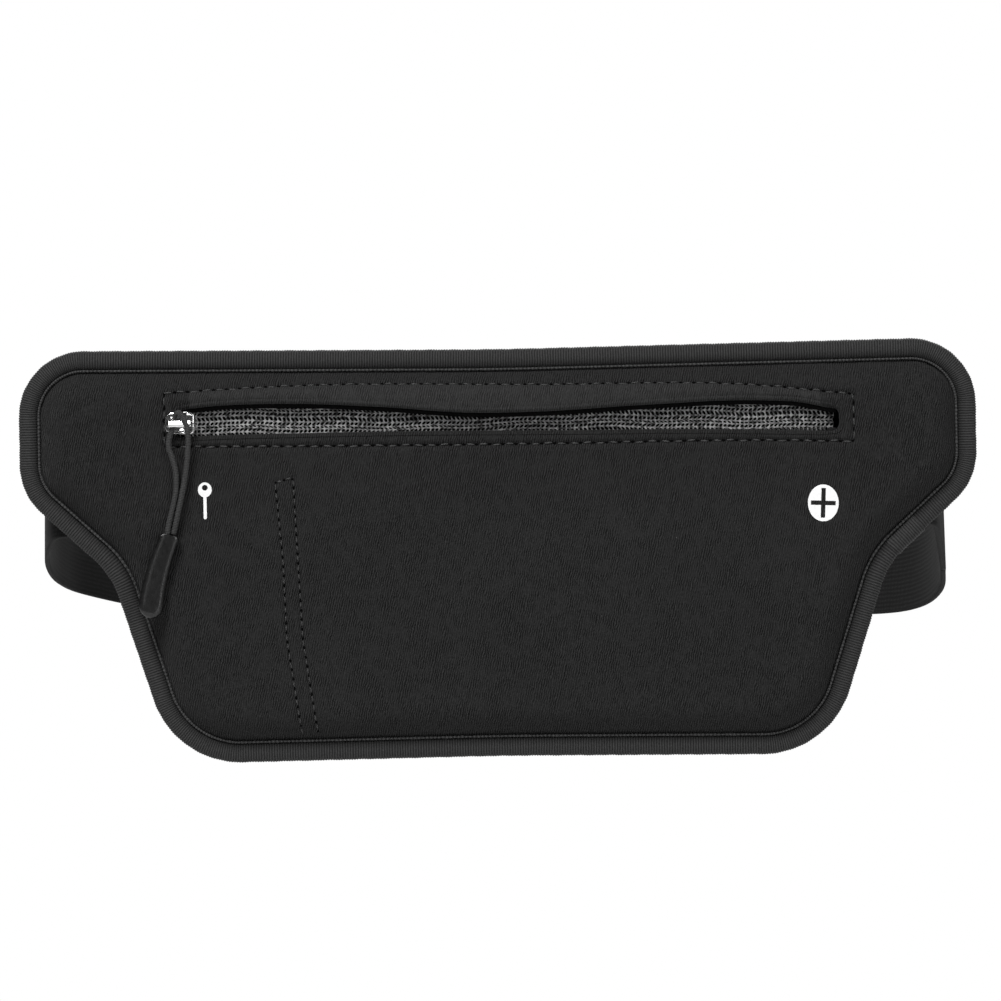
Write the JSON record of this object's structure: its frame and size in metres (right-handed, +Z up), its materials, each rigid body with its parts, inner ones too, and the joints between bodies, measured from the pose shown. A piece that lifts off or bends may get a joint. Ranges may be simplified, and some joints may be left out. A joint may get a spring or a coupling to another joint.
{
  "type": "money belt",
  "caption": "Slim stretch waist pouch with a bound edge, front zip slot, cord zip puller, earphone port and a buckled elastic belt.",
  "frame": {"origin": "middle of the pouch's back face, where it lies against the waist", "axes": "+X along the pouch to the right as seen from the front, front faces -Y, belt loop on +Y, +Z up"},
  "size_m": [0.2714, 0.1696, 0.1173],
  "materials": {
    "neoprene": "fine jersey face over neoprene",
    "neoprene_back": "jersey-faced neoprene",
    "binding": "ribbed elastic",
    "mesh": "knitted mesh",
    "lining": "plain cloth",
    "white_film": "heat-pressed film",
    "zip_tape": "laminated tape",
    "zip_coil": "nylon coil",
    "nickel": "nickel plated",
    "spring_steel": "spring leaf",
    "cord": "twisted cord",
    "grip_rubber": "soft moulded",
    "webbing": "woven elastic",
    "buckle_plastic": "satin moulded"
  },
  "bodies": {
    "pouch": {"front_panel": "neoprene", "back_panel": "neoprene_back", "edge_binding": "binding", "binding_bead": "binding", "mesh_lining": "mesh", "pocket_divider": "lining", "key_mark": "white_film", "earphone_patch": "white_film", "zip_bottom_stop": "nickel", "strap_end_left": "webbing", "strap_end_right": "webbing"},
    "zip_upper": {"zip_tape_upper": "zip_tape", "zip_coil_upper": "zip_coil", "zip_top_stop_upper": "nickel"},
    "zip_lower": {"zip_tape_lower": "zip_tape", "zip_coil_lower": "zip_coil", "zip_top_stop_lower": "nickel"},
    "slider": {"slider_body": "nickel", "slider_crown": "nickel", "slider_lock_spring": "spring_steel"},
    "pull": {"pull_cord": "cord"},
    "grip": {"pull_grip": "grip_rubber"},
    "belt": {"strap_left": "webbing", "strap_right": "webbing", "buckle_female": "buckle_plastic"},
    "plug": {"buckle_male": "buckle_plastic", "strap_right_loop": "webbing"},
    "latch_upper": {"latch_prong_upper": "buckle_plastic"},
    "latch_lower": {"latch_prong_lower": "buckle_plastic"},
    "adjuster": {"tri_glide": "buckle_plastic"}
  },
  "joints": [
    {"name": "slider_travel", "type": "slide", "parent": "pouch", "child": "slider", "axis": [1, 0, 0], "range_m": [0, 0.1778]},
    {"name": "zip_upper_close", "type": "slide", "parent": "pouch", "child": "zip_upper", "axis": [0, 0, -1], "range_m": [0, 0.00365], "deforming": ["zip_tape_upper", "zip_coil_upper"]},
    {"name": "zip_lower_close", "type": "slide", "parent": "pouch", "child": "zip_lower", "axis": [0, 0, 1], "range_m": [0, 0.00365], "deforming": ["zip_tape_lower", "zip_coil_lower"]},
    {"name": "pull_swing", "type": "hinge", "parent": "slider", "child": "pull", "pos_m": [-0.0895, -0.0129, 0.0376], "axis": [0, -1, 0], "range_deg": [-25, 80], "deforming": ["pull_cord"]},
    {"name": "grip_bend", "type": "hinge", "parent": "pull", "child": "grip", "pos_m": [-0.0926, -0.0135, 0.0061], "axis": [-0.9714, 0, 0.2376], "range_deg": [0, 60]},
    {"name": "belt_swing", "type": "hinge", "parent": "pouch", "child": "belt", "pos_m": [0, 0.0015, 0.025], "axis": [1, 0, 0], "range_deg": [-50, 30], "deforming": ["strap_left", "strap_right"]},
    {"name": "buckle_release", "type": "slide", "parent": "belt", "child": "plug", "axis": [1, 0, 0], "range_m": [0, 0.03], "deforming": ["latch_prong_upper", "latch_prong_lower"]},
    {"name": "prong_upper_squeeze", "type": "hinge", "parent": "plug", "child": "latch_upper", "pos_m": [0.0045, 0.14749, 0.01482], "axis": [0, -0.9833, 0.1822], "range_deg": [0, 10], "stiffness_Nm_per_rad": 0.2},
    {"name": "prong_lower_squeeze", "type": "hinge", "parent": "plug", "child": "latch_lower", "pos_m": [0.0045, 0.14144, -0.01782], "axis": [0, 0.9833, -0.1822], "range_deg": [0, 10], "stiffness_Nm_per_rad": 0.2},
    {"name": "strap_adjust", "type": "slide", "parent": "plug", "child": "adjuster", "axis": [1, 0, 0], "range_m": [0, 0.016], "deforming": ["strap_right_loop"]}
  ],
  "couplings": [
    {"joint": "zip_upper_close", "follows": "slider_travel", "ratio": 0.020529},
    {"joint": "zip_lower_close", "follows": "slider_travel", "ratio": 0.020529},
    {"joint": "prong_lower_squeeze", "follows": "prong_upper_squeeze", "ratio": 1}
  ]
}
